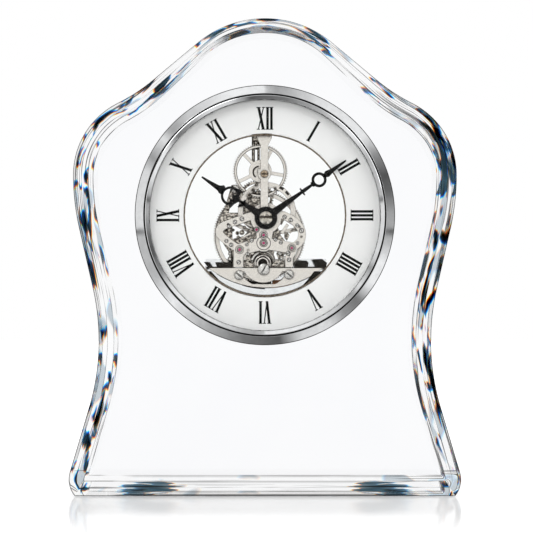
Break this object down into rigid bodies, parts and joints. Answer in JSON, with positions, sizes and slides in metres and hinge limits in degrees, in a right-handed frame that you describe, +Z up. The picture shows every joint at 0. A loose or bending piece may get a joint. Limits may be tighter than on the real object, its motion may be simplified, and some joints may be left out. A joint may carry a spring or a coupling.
{
  "type": "crystal clock",
  "caption": "Bevelled clear glass mantel clock with arched crown and flared foot, round chrome bezel, Roman dial ring and an open toothed movement behind the hands.",
  "frame": {"origin": "middle of the footprint on the table, under the crown", "axes": "+Z up; the dial faces -Y; +X to the right as seen from the front"},
  "size_m": [0.1972, 0.0526, 0.24],
  "materials": {
    "crystal": "polished clear optical glass",
    "clear_glass": "clear flat glass",
    "bright_chrome": "mirror polished plating",
    "nickel": "satin nickel plating",
    "polished_steel": "fine turned steel",
    "dial_silver": "silver white enamel",
    "bronze_edge": "dark bronze",
    "black_lacquer": "satin black lacquer",
    "pale_gold": "polished pale gold",
    "ruby": "polished synthetic ruby",
    "copper": "enamelled copper wire",
    "black_plastic": "moulded",
    "pale_vinyl": "soft translucent band",
    "cell_jacket": "printed foil"
  },
  "bodies": {
    "case": {"aperture_rim": "bronze_edge", "base_block": "bright_chrome", "battery_cell": "cell_jacket", "battery_tray": "black_plastic", "bezel": "bright_chrome", "boss_screw": "polished_steel", "case_wall": "polished_steel", "contact_minus": "polished_steel", "contact_plus": "polished_steel", "crystal_body": "crystal", "dial_ring": "dial_silver", "drum_nose": "nickel", "front_bridge": "nickel", "front_glass": "clear_glass", "front_post": "nickel", "gasket": "pale_vinyl", "great_cock": "nickel", "hanger_screw": "polished_steel", "jewel_1": "ruby", "jewel_2": "ruby", "jewel_3": "ruby", "jewel_4": "ruby", "jewel_5": "ruby", "lower_rim": "bright_chrome", "motor_coil": "copper", "motor_housing": "black_plastic", "pillar_1": "polished_steel", "pillar_2": "polished_steel", "pillar_3": "polished_steel", "pillar_4": "polished_steel", "plate_screw_1": "polished_steel", "plate_screw_2": "polished_steel", "post_screw": "pale_gold", "rear_plate": "nickel", "rear_post": "nickel", "rear_ring": "bright_chrome", "rear_window": "clear_glass", "rehaut_ring": "bright_chrome", "rest_left": "black_plastic", "rest_right": "black_plastic", "ring_bridge": "nickel", "segment_plate": "nickel"},
    "minute": {"minute_arbor": "polished_steel", "centre_wheel": "nickel", "minute_hand": "black_lacquer", "hand_nut": "pale_gold"},
    "hour": {"hour_wheel": "nickel", "hour_hand": "black_lacquer"},
    "motion": {"motion_wheel": "nickel"},
    "idler": {"idler_wheel": "nickel"},
    "top": {"top_arbor": "polished_steel", "top_wheel": "nickel", "setting_knob": "black_plastic"},
    "fly": {"fly_pinion": "polished_steel"},
    "great": {"great_arbor": "polished_steel", "great_wheel": "nickel"},
    "barrel": {"barrel_wheel": "nickel"},
    "motor": {"motor_pinion": "polished_steel"}
  },
  "joints": [
    {"name": "great_turn", "type": "hinge", "parent": "case", "child": "great", "pos_m": [-0.00279, 0, 0.1309], "axis": [0, 1, 0], "continuous": true},
    {"name": "minute_turn", "type": "hinge", "parent": "case", "child": "minute", "pos_m": [0.0005, 0, 0.1397], "axis": [0, 1, 0], "continuous": true},
    {"name": "hour_turn", "type": "hinge", "parent": "case", "child": "hour", "pos_m": [0.0005, 0, 0.1397], "axis": [0, 1, 0], "continuous": true},
    {"name": "motion_turn", "type": "hinge", "parent": "case", "child": "motion", "pos_m": [-0.00065, 0, 0.13118], "axis": [0, 1, 0], "continuous": true},
    {"name": "idler_turn", "type": "hinge", "parent": "case", "child": "idler", "pos_m": [-0.00445, 0, 0.15019], "axis": [0, 1, 0], "continuous": true},
    {"name": "setting_turn", "type": "hinge", "parent": "case", "child": "top", "pos_m": [-0.00235, 0, 0.16363], "axis": [0, 1, 0], "continuous": true},
    {"name": "fly_turn", "type": "hinge", "parent": "case", "child": "fly", "pos_m": [-0.01513, 0, 0.15468], "axis": [0, 1, 0], "continuous": true},
    {"name": "barrel_turn", "type": "hinge", "parent": "case", "child": "barrel", "pos_m": [-0.00053, 0, 0.11809], "axis": [0, 1, 0], "continuous": true},
    {"name": "motor_turn", "type": "hinge", "parent": "case", "child": "motor", "pos_m": [-0.00279, 0, 0.1061], "axis": [0, 1, 0], "continuous": true}
  ],
  "couplings": [
    {"joint": "minute_turn", "follows": "great_turn", "ratio": -0.27027},
    {"joint": "hour_turn", "follows": "great_turn", "ratio": -0.022523},
    {"joint": "motion_turn", "follows": "great_turn", "ratio": 0.09009},
    {"joint": "idler_turn", "follows": "great_turn", "ratio": 0.09428},
    {"joint": "setting_turn", "follows": "great_turn", "ratio": -0.16216},
    {"joint": "fly_turn", "follows": "great_turn", "ratio": 1.1027},
    {"joint": "barrel_turn", "follows": "great_turn", "ratio": -0.18182},
    {"joint": "motor_turn", "follows": "great_turn", "ratio": -14.5}
  ]
}
